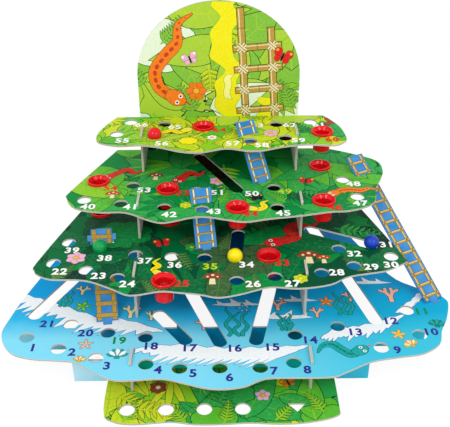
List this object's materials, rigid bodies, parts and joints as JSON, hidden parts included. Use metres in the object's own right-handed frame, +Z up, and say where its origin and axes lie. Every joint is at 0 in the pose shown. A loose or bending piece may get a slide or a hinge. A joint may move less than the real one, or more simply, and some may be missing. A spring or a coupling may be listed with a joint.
{
  "type": "tiered snakes and ladders game",
  "caption": "Tiered card snakes and ladders board: stepped ribs and a crowned back panel carry printed boards with marble holes, slots, leaning ladders and red drop cups.",
  "frame": {"origin": "on the table under the start board, midway between the two ribs and in line with their front edges", "axes": "+X to the right across the boards, +Y back towards the crowned panel, +Z up"},
  "size_m": [0.4626, 0.325, 0.304],
  "materials": {
    "start_print": "printed, satin",
    "sea_print": "printed, satin",
    "lower_print": "printed, satin",
    "middle_print": "printed, satin",
    "top_print": "printed, satin",
    "rib_card": "bare grey board",
    "front_panel_print": "printed, satin",
    "rear_panel_print": "printed, satin",
    "back_panel_print": "printed, satin",
    "ladder_print": "printed, satin",
    "cup_plastic": "moulded, glossy",
    "red_ball": "polished",
    "green_ball": "polished",
    "yellow_ball": "polished",
    "blue_ball": "polished"
  },
  "bodies": {
    "frame": {"start_board": "start_print", "sea_board": "sea_print", "lower_forest_board": "lower_print", "middle_forest_board": "middle_print", "top_forest_board": "top_print", "left_rib": "rib_card", "right_rib": "rib_card", "front_cross_panel": "front_panel_print", "rear_cross_panel": "rear_panel_print", "back_panel": "back_panel_print", "ladder_11": "ladder_print", "ladder_19": "ladder_print", "ladder_35": "ladder_print", "ladder_49": "ladder_print", "cup_25": "cup_plastic", "cup_33": "cup_plastic", "cup_44": "cup_plastic", "cup_46": "cup_plastic", "cup_52": "cup_plastic", "cup_54": "cup_plastic", "cup_60": "cup_plastic", "cup_64": "cup_plastic", "relay_cup_52": "cup_plastic", "relay_cup_54": "cup_plastic", "relay_cup_60_middle": "cup_plastic", "relay_cup_60_lower": "cup_plastic"},
    "red_marble": {"red_marble": "red_ball"},
    "green_marble": {"green_marble": "green_ball"},
    "yellow_marble": {"yellow_marble": "yellow_ball"},
    "blue_marble": {"blue_marble": "blue_ball"}
  },
  "joints": [
    {"name": "red_marble_lift", "type": "slide", "parent": "frame", "child": "red_marble", "axis": [0, 0, 1], "range_m": [0, 0.05]},
    {"name": "green_marble_lift", "type": "slide", "parent": "frame", "child": "green_marble", "axis": [0, 0, 1], "range_m": [0, 0.03]},
    {"name": "yellow_marble_roll", "type": "slide", "parent": "frame", "child": "yellow_marble", "axis": [0.0934, 0.9956, 0], "range_m": [0, 0.0479]},
    {"name": "blue_marble_roll", "type": "slide", "parent": "frame", "child": "blue_marble", "axis": [-0.8933, 0.4494, 0], "range_m": [0, 0.0682]}
  ]
}
